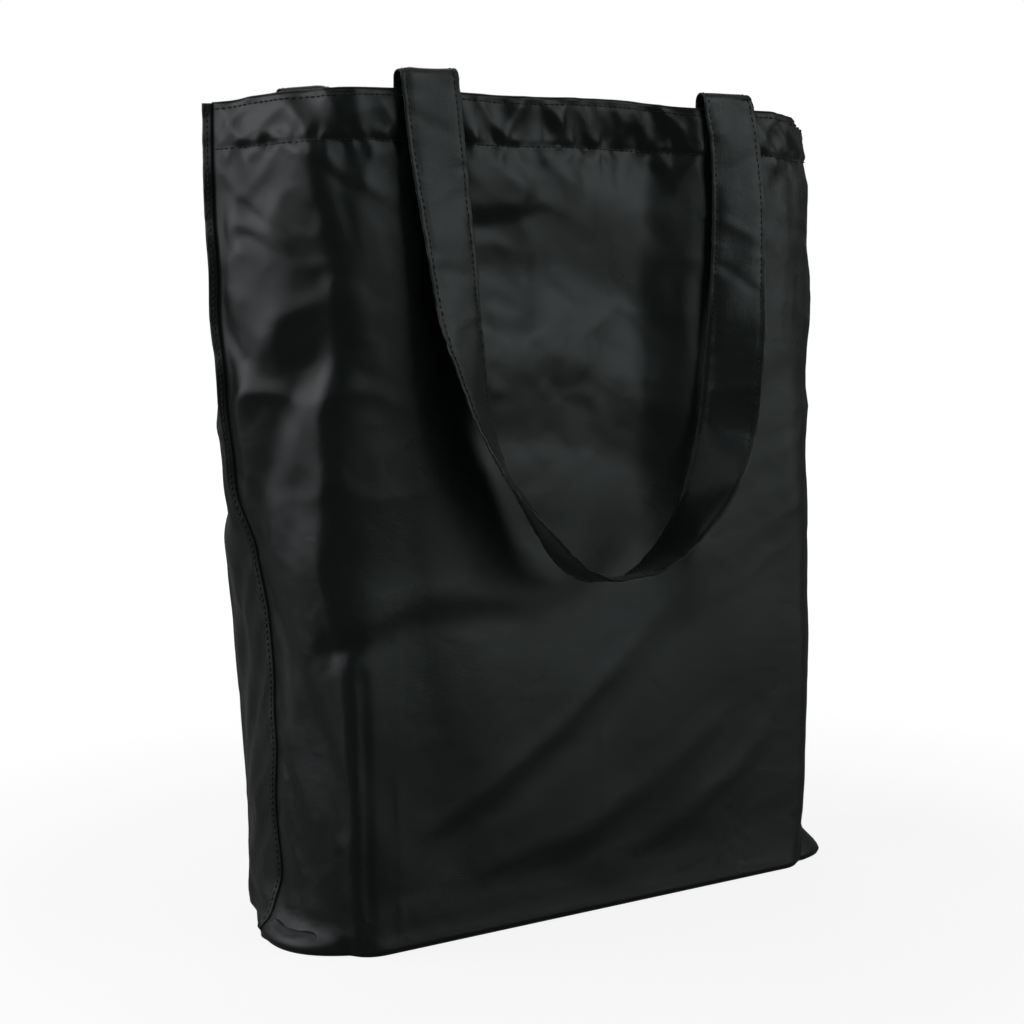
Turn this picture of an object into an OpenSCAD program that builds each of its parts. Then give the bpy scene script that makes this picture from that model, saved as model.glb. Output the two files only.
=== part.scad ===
// Foldable cloth tote bag with a boxed base, side seams, a turned hem and two flat handles.
// Origin at the middle of the base's underside. +Z is up and the front panel faces -Y.

/* [Bag] */
// Straight length of the base, from corner fold to corner fold
base_w = 262; // [220:2:300]
// Depth of the base, from front to back
base_d = 120; // [100:2:140]
// How far the middle of each end of the base stands out past its corner folds
base_ear = 27; // [10:1:35]
// Height of the standing bag
bag_h = 400; // [360:5:440]
// Width of the front at the mouth, from corner fold to corner fold
mouth_w = 244; // [210:2:260]
// Distance between the two side seams at the mouth
seam_span = 356; // [330:2:370]
// Thickness that stands for one layer of cloth
cloth = 0.8; // [0.6:0.1:1]

/* [Hem and seams] */
// Depth of the hem that is turned to the inside of the mouth
hem_h = 24; // [16:1:30]
// Width of the seam flange that stands out along each side seam
flange_w = 4.5; // [3:0.5:7]
// Height of the seam allowance of each boxed base corner
corner_seam_h = 9; // [6:1:12]
// Width of one line of thread
thread_w = 0.5; // [0.4:0.1:0.8]
// Distance from a cloth edge to its nearest line of thread
stitch_inset = 2.5; // [2:0.5:3.5]

/* [Handles] */
// Width of each flat handle
strap_w = 30; // [24:1:34]
// Thickness of the doubled handle cloth
strap_t = 1.6; // [1.2:0.1:2]
// Distance between the two ends of a handle, centre to centre
strap_span = 170; // [150:2:180]
// Sideways place of the middle of both handles
strap_shift = -12; // [-16:1:16]
// Drop of each hanging handle below its fold
strap_drop = 230; // [210:5:250]
// Height of the handle's fold above the rim
fold_rise = 5; // [5:0.5:8]

/* [Hidden] */

black_cloth = [0.075, 0.085, 0.085];
black_strap = [0.09, 0.1, 0.1];
black_thread = [0.04, 0.045, 0.05];

// Gap between a line of thread and the cloth it lies on
thread_gap = 0.25;
// Depth of a line of thread
thread_t = 0.35;
// Gap between a side seam's flange and the edge of the gusset
flange_gap = 0.05;

// Corner points of the bag, seen from above and in the order front left, front right,
// right seam, back right, back left, left seam
base_outline = [
    [-base_w / 2, -base_d / 2], [base_w / 2, -base_d / 2], [base_w / 2 + base_ear, 0],
    [base_w / 2, base_d / 2], [-base_w / 2, base_d / 2], [-base_w / 2 - base_ear, 0]
];
mouth_outline = [
    [-mouth_w / 2, -base_d / 2], [mouth_w / 2, -base_d / 2], [seam_span / 2, 0],
    [mouth_w / 2, base_d / 2], [-mouth_w / 2, base_d / 2], [-seam_span / 2, 0]
];

// The fields of cloth, each named by the outline corner that it starts from
front = 0;
right_front = 1;
right_back = 2;
back = 3;
left_back = 4;
left_front = 5;

hem_low = bag_h - hem_h;

// Heights of the rows that follow the twist of a gusset, closer together in the hem
wall_steps = 9;
hem_steps = 8;
corner_rows = [cloth, corner_seam_h];
hem_rows = [for (k = [0:hem_steps]) hem_low + hem_h * k / hem_steps];
wall_rows = concat(
    corner_rows,
    [for (k = [1:wall_steps - 1]) corner_seam_h + (hem_low - corner_seam_h) * k / wall_steps],
    hem_rows
);

// Handle fold: an inner leg on the hem, a bend over the rim and an outer leg
inner_leg_y = base_d / 2 - 2 * cloth - strap_t / 2;
fold_r = 3.4;
fold_y = inner_leg_y + fold_r;
fold_z = bag_h + fold_rise;
outer_leg_y = fold_y + fold_r;
loop_r = strap_span / 2;
loop_bottom_z = fold_z - strap_drop;
loop_centre_z = loop_bottom_z + loop_r;
twist_start_z = loop_centre_z + 55;
leg_steps = 24;
arc_steps = 60;
bend_facets = 48;

// One corner of the bag at height z
function corner(i, z) =
    let (share = z / bag_h)
    base_outline[i % 6] * (1 - share) + mouth_outline[i % 6] * share;

// Outward direction of the field between corners i and i + 1 at height z
function outward(i, z) =
    let (along = corner(i + 1, z) - corner(i, z))
    [along.y, -along.x] / norm(along);

// Corner i moved inwards by inset, on the mitre line between its two fields
function inset_corner(i, z, inset) =
    let (before = outward(i + 5, z), after = outward(i, z))
    corner(i, z) - inset * (before + after) / (1 + before * after);

// Four points of a slab's section at height z: outer and inner, at both ends of the field
function slab_row(i, z, outer, inner) = [
    for (p = [inset_corner(i, z, outer), inset_corner(i + 1, z, outer),
              inset_corner(i + 1, z, inner), inset_corner(i, z, inner)])
        [p.x, p.y, z]
];

function flatten(lists) = [for (list = lists) for (item = list) item];

// Triangles of a closed tube of four-sided sections. Opposite sides are cut along matching
// diagonals, so that a thin twisted slab keeps its thickness.
function tube_faces(sections) =
    let (last = 4 * (sections - 1))
    concat(
        [[0, 1, 2], [0, 2, 3], [last, last + 2, last + 1], [last, last + 3, last + 2]],
        flatten([for (k = [0:sections - 2]) flatten([for (s = [0:3])
            let (a = 4 * k + s, b = 4 * k + (s + 1) % 4)
            s < 2
                ? [[a, a + 4, b + 4], [a, b + 4, b]]
                : [[a, a + 4, b], [b, a + 4, b + 4]]
        ])])
    );

module tube(sections) {
    polyhedron(points = flatten(sections), faces = tube_faces(len(sections)), convexity = 4);
}

// A layer of cloth on field i, between two depths inside the outer face
module layer(i, rows, outer, inner) {
    tube([for (z = rows) slab_row(i, z, outer, inner)]);
}

module wall(i) {
    color(black_cloth) layer(i, wall_rows, 0, cloth);
}

module front_panel() { wall(front); }
module back_panel() { wall(back); }
module left_gusset_front() { wall(left_front); }
module left_gusset_back() { wall(left_back); }
module right_gusset_front() { wall(right_front); }
module right_gusset_back() { wall(right_back); }

module base_panel() {
    color(black_cloth) linear_extrude(cloth) polygon([for (i = [0:5]) corner(i, 0)]);
}

module hem(fields) {
    color(black_cloth) for (i = fields) layer(i, hem_rows, cloth, 2 * cloth);
}

module front_hem() { hem([front]); }
module back_hem() { hem([back]); }
module left_hem() { hem([left_back, left_front]); }
module right_hem() { hem([right_front, right_back]); }

// Flange of the right side seam
module side_seam() {
    color(black_cloth) tube([for (z = [cloth, bag_h])
        let (x = corner(right_back, z).x + flange_gap)
        [for (p = [[x, -cloth], [x + flange_w, -cloth], [x + flange_w, cloth], [x, cloth]])
            [p.x, p.y, z]]
    ]);
}

module left_side_seam() { mirror([1, 0, 0]) side_seam(); }
module right_side_seam() { side_seam(); }

// Seam allowance inside a boxed base corner
module base_seam(fields) {
    color(black_cloth) for (i = fields) layer(i, corner_rows, cloth, 2 * cloth);
}

module left_base_seam() { base_seam([left_back, left_front]); }
module right_base_seam() { base_seam([right_front, right_back]); }

// Two lines of thread round the hem, one above its fold and one just below the rim
module hem_stitching(fields) {
    color(black_thread) for (i = fields, z = [hem_low + stitch_inset, bag_h - stitch_inset])
        layer(i, [z, z + thread_w], -thread_gap - thread_t, -thread_gap);
}

// The same on a gusset, where both lines stop short of the side seam's flange
module gusset_hem_stitching(fields) {
    difference() {
        hem_stitching(fields);
        cube([2 * seam_span, 2 * (cloth + thread_gap), 3 * bag_h], center = true);
    }
}

module front_hem_stitching() { hem_stitching([front]); }
module back_hem_stitching() { hem_stitching([back]); }
module left_hem_stitching() { gusset_hem_stitching([left_back, left_front]); }
module right_hem_stitching() { gusset_hem_stitching([right_front, right_back]); }

// A line of thread up the back face of the right side seam's flange
module flange_thread() {
    low = cloth + thread_gap;
    tube([for (z = [stitch_inset, bag_h - stitch_inset])
        let (x = corner(right_back, z).x + flange_gap + flange_w - stitch_inset)
        [for (p = [[x, low], [x + thread_w, low], [x + thread_w, low + thread_t], [x, low + thread_t]])
            [p.x, p.y, z]]
    ]);
}

// The same line of thread on both faces of the flange
module side_stitching() {
    color(black_thread) for (turned = [0, 1]) mirror([0, turned, 0]) flange_thread();
}

module left_side_stitching() { mirror([1, 0, 0]) side_stitching(); }
module right_side_stitching() { side_stitching(); }

// Places along a hanging loop, from the top of its left leg to the top of its right leg.
// Each is [centre x, centre z, travel direction x, travel direction z].
loop_places = concat(
    [for (k = [0:leg_steps - 1])
        [-loop_r, fold_z + (loop_centre_z - fold_z) * k / leg_steps, 0, -1]],
    [for (k = [0:arc_steps])
        let (a = 180 + 180 * k / arc_steps)
        [loop_r * cos(a), loop_centre_z + loop_r * sin(a), -sin(a), cos(a)]],
    [for (k = [1:leg_steps])
        [loop_r, loop_centre_z + (fold_z - loop_centre_z) * k / leg_steps, 0, 1]]
);

// Turn of the strap's width out of the loop's own plane: none at the legs, 90 at the bottom
function twist(z) =
    let (share = max(0, min(1, (twist_start_z - z) / (twist_start_z - loop_bottom_z))))
    90 * share * share * (3 - 2 * share);

// One section of a band in the loop: across runs over the strap's width from its outer edge,
// and off runs from the back of the strap to its front
function band_section(place, across, off) =
    let (
        z = place[1],
        turn = twist(z),
        travel = [place[2], 0, place[3]],
        inward = [-place[3], 0, place[2]],
        width = inward * cos(turn) + [0, 1, 0] * sin(turn),
        face = cross(travel, width),
        centre = [place[0] + strap_shift, -outer_leg_y - strap_w / 2 * sin(turn), z]
    )
    [for (p = [[across[0], off[0]], [across[1], off[0]], [across[1], off[1]], [across[0], off[1]]])
        centre + width * p[0] + face * p[1]];

module band(across, off) {
    tube([for (place = loop_places) band_section(place, across, off)]);
}

module loop() {
    color(black_strap) band([-strap_w / 2, strap_w / 2], [-strap_t / 2, strap_t / 2]);
}

// Two lines of thread along the edges of a loop, on the front face of the strap
module loop_stitching() {
    low = strap_t / 2 + thread_gap;
    edge = strap_w / 2 - stitch_inset;
    color(black_thread) for (x = [-edge, edge - thread_w])
        band([x, x + thread_w], [low, low + thread_t]);
}

module front_handle() { loop(); }
module front_handle_stitching() { loop_stitching(); }
module back_handle() { mirror([0, 1, 0]) loop(); }
module back_handle_stitching() { mirror([0, 1, 0]) loop_stitching(); }

// Sewn end of a handle, flat on the inside of the hem, up to the fold
module strap_end(x) {
    color(black_strap)
        translate([x + strap_shift - strap_w / 2, -inner_leg_y - strap_t / 2, hem_low])
        cube([strap_w, strap_t, fold_z - hem_low]);
}

// Bend of a handle over the rim, from its sewn end to its outer leg
module strap_bend(x) {
    color(black_strap)
        translate([x + strap_shift - strap_w / 2, -fold_y, fold_z])
        rotate([90, 0, 90])
        linear_extrude(strap_w)
        difference() {
            circle(fold_r + strap_t / 2, $fn = bend_facets);
            circle(fold_r - strap_t / 2, $fn = bend_facets);
            translate([-2 * fold_r, -4 * fold_r]) square(4 * fold_r);
        }
}

module front_handle_left_end() { strap_end(-loop_r); }
module front_handle_right_end() { strap_end(loop_r); }
module back_handle_left_end() { mirror([0, 1, 0]) strap_end(-loop_r); }
module back_handle_right_end() { mirror([0, 1, 0]) strap_end(loop_r); }
module front_handle_left_bend() { strap_bend(-loop_r); }
module front_handle_right_bend() { strap_bend(loop_r); }
module back_handle_left_bend() { mirror([0, 1, 0]) strap_bend(-loop_r); }
module back_handle_right_bend() { mirror([0, 1, 0]) strap_bend(loop_r); }

front_panel();
back_panel();
base_panel();
left_gusset_front();
left_gusset_back();
right_gusset_front();
right_gusset_back();
front_hem();
back_hem();
left_hem();
right_hem();
left_side_seam();
right_side_seam();
left_base_seam();
right_base_seam();
front_hem_stitching();
back_hem_stitching();
left_hem_stitching();
right_hem_stitching();
left_side_stitching();
right_side_stitching();
front_handle();
back_handle();
front_handle_stitching();
back_handle_stitching();
front_handle_left_end();
front_handle_right_end();
back_handle_left_end();
back_handle_right_end();
front_handle_left_bend();
front_handle_right_bend();
back_handle_left_bend();
back_handle_right_bend();
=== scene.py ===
import math

import bmesh
import bpy
import numpy as np
from mathutils import Euler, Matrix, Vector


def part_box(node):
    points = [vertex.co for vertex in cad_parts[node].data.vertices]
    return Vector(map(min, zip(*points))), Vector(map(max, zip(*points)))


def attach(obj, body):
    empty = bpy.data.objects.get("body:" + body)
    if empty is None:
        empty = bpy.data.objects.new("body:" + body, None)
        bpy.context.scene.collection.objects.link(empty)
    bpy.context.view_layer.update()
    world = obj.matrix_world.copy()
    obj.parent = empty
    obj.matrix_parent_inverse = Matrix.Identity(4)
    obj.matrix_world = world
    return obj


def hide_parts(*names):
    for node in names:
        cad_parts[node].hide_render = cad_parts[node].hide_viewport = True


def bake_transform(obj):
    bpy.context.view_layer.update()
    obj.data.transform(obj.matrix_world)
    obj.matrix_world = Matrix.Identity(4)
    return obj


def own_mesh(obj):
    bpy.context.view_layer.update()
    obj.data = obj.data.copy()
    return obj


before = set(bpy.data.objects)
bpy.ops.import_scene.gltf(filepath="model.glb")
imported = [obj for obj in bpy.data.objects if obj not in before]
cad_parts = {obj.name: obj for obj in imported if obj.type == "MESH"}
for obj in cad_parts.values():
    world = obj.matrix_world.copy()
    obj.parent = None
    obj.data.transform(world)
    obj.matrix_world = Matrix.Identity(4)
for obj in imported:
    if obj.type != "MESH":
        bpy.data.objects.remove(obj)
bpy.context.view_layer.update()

MM = 0.001


def middle_of(node, axis):
    low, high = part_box(node)
    return (low[axis] + high[axis]) / 2 / MM


# Sizes of the bag, from the frame, in millimetres
BAG_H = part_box("front_panel")[1][2] / MM
HEM_H = BAG_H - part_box("front_hem")[0][2] / MM
STRAP_W = (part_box("front_handle_left_end")[1][0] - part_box("front_handle_left_end")[0][0]) / MM
LEFT_STRAP_X = middle_of("front_handle_left_end", 0)
RIGHT_STRAP_X = middle_of("front_handle_right_end", 0)
# Distance of the strap's middle from the bag's centre plane, inside the hem and outside it
STRAP_INNER_Y = -middle_of("front_handle_left_end", 1)
OUTER_LEG_Y = 64.4
# The strap folds over the rim at this height, round this radius
FOLD_Z = 405.0
BEND_R = (OUTER_LEG_Y - STRAP_INNER_Y) / 2
# The lowest edge of the cloth stays this far above the floor
FLOOR_GAP = 0.3

# Cloth coordinates of one half of the bag, in millimetres: across from the left seam to the
# right seam, and up from the base fold to the rim
CLOTH_W = 400.0
LEFT_FOLD_U = 68.0
RIGHT_FOLD_U = 332.0
# Cells of the mesh of one half
COLS = 200
BODY_ROWS = 172
HEM_ROWS = 22
CLOTH_T = 0.35
# Thickness of the layers that are seen less: the turned hem and the base
LINING_T = 0.3

# Distance between stitches
STITCH = 3.0
# Depth below the rim of the two rows of stitches of the hem
HEM_ROW_DEPTH = HEM_H - 1.6
RIM_ROW_DEPTH = 2.7
# Radius of the fold of the cloth at the rim
RIM_R = 0.6


# ---- numbers

def smooth(low, high, x):
    """Share from 0 at low to 1 at high, level at both ends. Low may be the greater one."""
    share = np.clip((np.asarray(x, float) - low) / (high - low), 0.0, 1.0)
    return share * share * (3 - 2 * share)


def curve_through(keys, x):
    """Smooth values at x through rows of keys, whose first column is the place."""
    keys = np.array(keys, float)
    at, values = keys[:, 0], keys[:, 1:]
    step = np.diff(at)[:, None]
    slope = np.diff(values, axis=0) / step
    tangent = np.zeros_like(values)
    same = slope[:-1] * slope[1:] > 0
    mean = 2 * slope[:-1] * slope[1:] / np.where(same, slope[:-1] + slope[1:], 1)
    tangent[1:-1] = np.where(same, mean, 0)
    tangent[0], tangent[-1] = slope[0], slope[-1]
    x = np.clip(np.asarray(x, float), at[0], at[-1])
    k = np.clip(np.searchsorted(at, x, side="right") - 1, 0, len(at) - 2)
    t = ((x - at[k]) / (at[k + 1] - at[k]))[:, None]
    h = (at[k + 1] - at[k])[:, None]
    return (
        (1 + 2 * t) * (1 - t) ** 2 * values[k]
        + t * (1 - t) ** 2 * h * tangent[k]
        + t * t * (3 - 2 * t) * values[k + 1]
        + t * t * (t - 1) * h * tangent[k + 1]
    )


def ripple(x, y, wavelength, seed, stretch=(1.0, 1.0), waves=9):
    """Smooth noise of about one unit: crossed waves of nearly one length."""
    rng = np.random.default_rng(seed)
    total = np.zeros_like(np.asarray(x, float))
    for _ in range(waves):
        angle = rng.uniform(0, math.pi)
        length = wavelength * rng.uniform(0.65, 1.5)
        phase = rng.uniform(0, 2 * math.pi)
        along = x * math.cos(angle) / stretch[0] + y * math.sin(angle) / stretch[1]
        total += np.cos(2 * math.pi * along / length + phase)
    return total / math.sqrt(waves / 2)


def fold_line(x, z, path, width, height, sharp=False, taper=25.0):
    """Height of a fold whose crest runs along path, dying away at both ends."""
    path = np.array(path, float)
    best = np.full(np.shape(x), 1e9)
    along = np.zeros(np.shape(x))
    run = 0.0
    lengths = np.hypot(*np.diff(path, axis=0).T)
    for start, end, length in zip(path[:-1], path[1:], lengths):
        way = (end - start) / length
        t = np.clip((x - start[0]) * way[0] + (z - start[1]) * way[1], 0, length)
        d = np.hypot(x - start[0] - way[0] * t, z - start[1] - way[1] * t)
        along = np.where(d < best, run + t, along)
        best = np.minimum(best, d)
        run += length
    ends = smooth(0, taper, along) * smooth(0, taper, run - along)
    if sharp:
        profile = np.clip(1 - best / width, 0, 1) ** 1.6
    else:
        profile = np.exp(-((best / width) ** 2))
    return height * profile * ends


def facets(x, y, size, seed, stretch=(1.0, 1.0), soft=0.18):
    """Flat-sided ridges and valleys that cross at random, as in creased thin cloth."""
    wave = ripple(x, y, size, seed, stretch, 5)
    return 0.8 - np.sqrt(wave * wave + soft * soft)


def normals_of(grid):
    """Outward unit normals of a grid of rows that go up and columns that go from left to right."""
    across = np.gradient(grid, axis=1)
    up = np.gradient(grid, axis=0)
    normal = np.cross(across, up)
    return normal / np.maximum(np.linalg.norm(normal, axis=2, keepdims=True), 1e-12)


def sample(grid, row, col):
    """Points of a grid at fractional rows and columns."""
    row = np.clip(np.asarray(row, float), 0, grid.shape[0] - 1.0001)
    col = np.clip(np.asarray(col, float), 0, grid.shape[1] - 1.0001)
    r, c = row.astype(int), col.astype(int)
    fr, fc = (row - r)[..., None], (col - c)[..., None]
    return (
        grid[r, c] * (1 - fr) * (1 - fc)
        + grid[r + 1, c] * fr * (1 - fc)
        + grid[r, c + 1] * (1 - fr) * fc
        + grid[r + 1, c + 1] * fr * fc
    )


# ---- meshes

def add_object(name, verts, faces, uvs=None, wear=None, smooth_shade=True):
    """Mesh object in metres, with a texture place and a share of wear for each point."""
    mesh = bpy.data.meshes.new(name)
    mesh.from_pydata([tuple(v) for v in verts], [], faces)
    mesh.validate()
    if uvs is not None:
        layer = mesh.uv_layers.new(name="UVMap")
        index = np.zeros(len(mesh.loops), int)
        mesh.loops.foreach_get("vertex_index", index)
        layer.data.foreach_set("uv", np.asarray(uvs, float)[index].ravel())
    if wear is not None:
        attribute = mesh.attributes.new("wear", "FLOAT", "POINT")
        attribute.data.foreach_set("value", np.asarray(wear, float))
    mesh.polygons.foreach_set("use_smooth", [smooth_shade] * len(mesh.polygons))
    mesh.update()
    obj = bpy.data.objects.new(name, mesh)
    bpy.context.scene.collection.objects.link(obj)
    return obj


def grid_faces(rows, cols, first=0, flip=False):
    """Quads of a grid of points that are numbered row by row."""
    faces = []
    for r in range(rows - 1):
        for c in range(cols - 1):
            a = first + r * cols + c
            quad = (a, a + 1, a + cols + 1, a + cols)
            faces.append(quad[::-1] if flip else quad)
    return faces


def thick_grid(name, grid, normal, thickness, uv, wear=None):
    """Closed sheet: the grid is its outer face, and the inner face lies thickness behind it."""
    rows, cols = grid.shape[:2]
    count = rows * cols
    inner = grid - normal * thickness
    verts = np.concatenate([grid.reshape(-1, 3), inner.reshape(-1, 3)]) * MM
    faces = grid_faces(rows, cols) + grid_faces(rows, cols, count, flip=True)
    border = (
        list(range(cols))
        + [r * cols + cols - 1 for r in range(1, rows)]
        + [(rows - 1) * cols + c for c in range(cols - 2, -1, -1)]
        + [r * cols for r in range(rows - 2, 0, -1)]
    )
    for k, a in enumerate(border):
        b = border[(k + 1) % len(border)]
        faces.append((b, a, a + count, b + count))
    uvs = np.concatenate([uv.reshape(-1, 2)] * 2) * MM
    wears = None if wear is None else np.concatenate([wear.ravel()] * 2)
    return add_object(name, verts, faces, uvs, wears)


def stitches(name, centres, tangents, normals, length, width=0.66, rise=0.3):
    """A row of separate lockstitches: each is a short round thread whose ends dive into the cloth."""
    rings = np.array([-0.5, -0.36, -0.12, 0.12, 0.36, 0.5])
    lift = np.array([-0.7, 0.45, 1.0, 1.0, 0.45, -0.7])
    girth = np.array([0.5, 0.9, 1.0, 1.0, 0.9, 0.5])
    sides = 6
    verts, faces, uvs = [], [], []
    for i in range(len(centres)):
        t = tangents[i] / np.linalg.norm(tangents[i])
        n = normals[i] - t * np.dot(normals[i], t)
        n = n / np.linalg.norm(n)
        b = np.cross(t, n)
        first = len(verts)
        for k in range(len(rings)):
            middle = centres[i] + t * rings[k] * length + n * lift[k] * rise
            for s in range(sides):
                a = 2 * math.pi * s / sides
                ring = b * math.cos(a) * width / 2 + n * math.sin(a) * width * 0.42
                verts.append(middle + ring * girth[k])
                uvs.append((rings[k] * length, s / sides))
        for k in range(len(rings) - 1):
            for s in range(sides):
                p = first + k * sides + s
                q = first + k * sides + (s + 1) % sides
                faces.append((p, p + sides, q + sides, q))
        faces.append(tuple(first + s for s in range(sides)))
        last = first + (len(rings) - 1) * sides
        faces.append(tuple(last + s for s in range(sides))[::-1])
    return add_object(name, np.array(verts) * MM, faces, np.array(uvs) * MM)


# ---- shell of the bag

# Each row: height, seam x and y, corner fold x and y, how far the corner's rounding runs along
# the gusset and along the front, and how far the gusset swells outwards
LEFT_SIDE = [
    (0, -160, -6, -132, -62.5, 10, 12, 11),
    (5, -159.5, -6, -133, -62, 10, 11, 10.5),
    (9, -156, -7, -135, -61.5, 8, 10, 6.5),
    (16, -152.5, -7, -136, -61, 7, 9, 5.5),
    (30, -149, -8, -138, -60, 6, 7, 5),
    (75, -151, -8, -139, -60, 6, 7, 5),
    (114, -151, -8, -139, -60, 6, 8, 5),
    (147, -152, -7, -141, -59, 8, 14, 4),
    (187, -157, -4, -148, -58.5, 12, 42, 3),
    (216, -165, 0, -145, -59.5, 12, 50, 2),
    (240, -167.5, 0, -145, -60, 12, 54, 2),
    (262, -169.5, 0, -142, -60, 12, 52, 2),
    (282, -171.5, 0, -137, -60, 12, 48, 2),
    (324, -174, 0, -136, -60, 13, 46, 2),
    (346, -174.5, 0, -143, -60, 12, 46, 1),
    (370, -175, 0, -149, -60, 13, 42, 0),
    (400, -174.5, 0, -142, -60.5, 10, 14, 0),
]
RIGHT_SIDE = [
    (0, 157, -2, 132, -62.5, 9, 10, 15),
    (4, 156, -3, 133, -62, 9, 10, 14),
    (14, 149, -4, 135, -61, 8, 9, 7),
    (35, 147, -4, 138.5, -60, 8, 9, 4),
    (91, 149, -4, 141, -60, 10, 12, 3),
    (167, 155, -2, 141.5, -60, 14, 17, 2),
    (225, 163, 0, 139.5, -60, 20, 22, 1),
    (328, 171, 0, 133, -60, 25, 28, 0),
    (376, 173, 0, 129, -60, 29, 32, 0),
    (400, 173.5, 0, 117, -60.5, 40, 28, -1),
]


def back_side(rows):
    """Rows for the back half, which is made as a front and then mirrored: its gussets swell less at
    the floor, and its corners are rounder, most of all low down."""
    out = []
    for z, sx, sy, cx, cy, gusset, front, swell in rows:
        wider = min(6, z / 25) if z < 200 else 0
        low = max(26 - z, 0)
        out.append((z, sx, -sy, cx + math.copysign(wider, cx), cy,
                    gusset + 8 + 0.9 * low, front + 8 + 1.3 * low, 1 if z < 10 else min(swell, 4)))
    return out


def bezier(a, b, c, count):
    """Points of the curve from a to c that is drawn towards b."""
    t = np.linspace(0, 1, count)[:, None]
    return a * (1 - t) ** 2 + b * 2 * t * (1 - t) + c * t * t


def side_curve(seam, corner, along_gusset, along_front, swell, into_front):
    """Gusset and rounded corner, from the seam to where the flat of the front begins."""
    way = seam - corner
    length = np.linalg.norm(way)
    way = way / length
    out = np.array([way[1], -way[0]]) * (1 if into_front > 0 else -1)
    out = -out if out[1] > 0 and swell >= 0 else out
    gusset_end = corner + way * min(along_gusset, length * 0.8)
    middle = (seam + gusset_end) / 2 + out * swell * 2
    front_start = corner + np.array([into_front * along_front, 0.0])
    gusset = bezier(seam, middle, gusset_end, 60)
    rounding = bezier(gusset_end, corner, front_start, 60)
    return gusset, rounding


def spread(points, count):
    """Points of a polyline, spread evenly by length."""
    run = np.concatenate([[0], np.cumsum(np.linalg.norm(np.diff(points, axis=0), axis=1))])
    want = np.linspace(0, run[-1], count)
    return np.stack([np.interp(want, run, points[:, k]) for k in range(2)], axis=1)


def section(left, right):
    """One level of the front half, from the left seam to the right seam."""
    left_gusset, left_round = side_curve(left[0:2], left[2:4], left[4], left[5], left[6], 1)
    right_gusset, right_round = side_curve(right[0:2], right[2:4], right[4], right[5], right[6], -1)
    left_cols = int(round(LEFT_FOLD_U / CLOTH_W * COLS))
    right_cols = int(round((CLOTH_W - RIGHT_FOLD_U) / CLOTH_W * COLS))
    start = np.concatenate([left_gusset, left_round[1:31]])
    end = np.concatenate([right_gusset, right_round[1:31]])
    front = np.concatenate([left_round[30:], right_round[30:][::-1]])
    return np.concatenate([
        spread(start, left_cols + 1)[:-1],
        spread(front, COLS - left_cols - right_cols + 1),
        spread(end, right_cols + 1)[::-1][1:],
    ])


def row_heights():
    """Heights of the rows, closer together in the hem and at the floor."""
    body = np.linspace(0, 1, BODY_ROWS + 1) ** 1.06 * (BAG_H - HEM_H)
    hem = np.linspace(BAG_H - HEM_H, BAG_H, HEM_ROWS + 1)
    return np.concatenate([body, hem[1:]])


ROW_Z = row_heights()
COL_U = np.linspace(0, CLOTH_W, COLS + 1)


def loft(front):
    """Smooth shell of one half."""
    left = curve_through(LEFT_SIDE if front else back_side(LEFT_SIDE), ROW_Z)
    right = curve_through(RIGHT_SIDE if front else back_side(RIGHT_SIDE), ROW_Z)
    rows = [section(left[k], right[k]) for k in range(len(ROW_Z))]
    grid = np.zeros((len(ROW_Z), COLS + 1, 3))
    grid[:, :, :2] = np.array(rows)
    grid[:, :, 2] = ROW_Z[:, None]
    return grid


def rolled_base(grid, radius=1.5):
    """The lowest few millimetres turn under the bag."""
    z = grid[:, :, 2]
    drop = np.clip(1 - z / radius, 0, 1)
    inward = radius * (1 - np.sqrt(1 - drop**2 * 0.98))
    normal = normals_of(grid)
    normal[:, :, 2] = 0
    normal /= np.maximum(np.linalg.norm(normal, axis=2, keepdims=True), 1e-9)
    return grid - normal * inward[:, :, None]


def rim_height(x):
    """How far the rim sags below its full height."""
    return (
        -3.0 * smooth(-146, -175, x)
        - 1.8 * smooth(20, 70, x)
        - 1.0 * smooth(96, 118, x)
        - 2.5 * smooth(110, 178, x)
        + 0.5 * np.cos(x / 17.0)
        - 0.4
    )


# Folds of the front cloth: crest as places x and z, width, and height outwards
FRONT_FOLDS = [
    ([(-141, 151), (-128, 160), (-108, 168), (-78, 169), (-38, 165), (10, 172)], 9, 1.1),
    ([(-138, 143), (-122, 150), (-104, 156), (-72, 156), (-30, 152)], 9, -0.8),
    ([(-110, 50), (-64, 74), (-22, 98), (17, 129), (54, 163), (72, 192)], 6, 0.75),
    ([(-96, 44), (-50, 66), (-8, 90), (32, 120), (70, 156)], 8, -0.55),
    ([(-112, 24), (-60, 34), (-10, 44), (40, 66), (88, 98)], 8, 0.55),
    ([(-20, 20), (40, 34), (92, 62), (118, 92)], 7, 0.45),
    ([(20, 205), (58, 226), (100, 262)], 10, -1.1),
]


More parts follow.
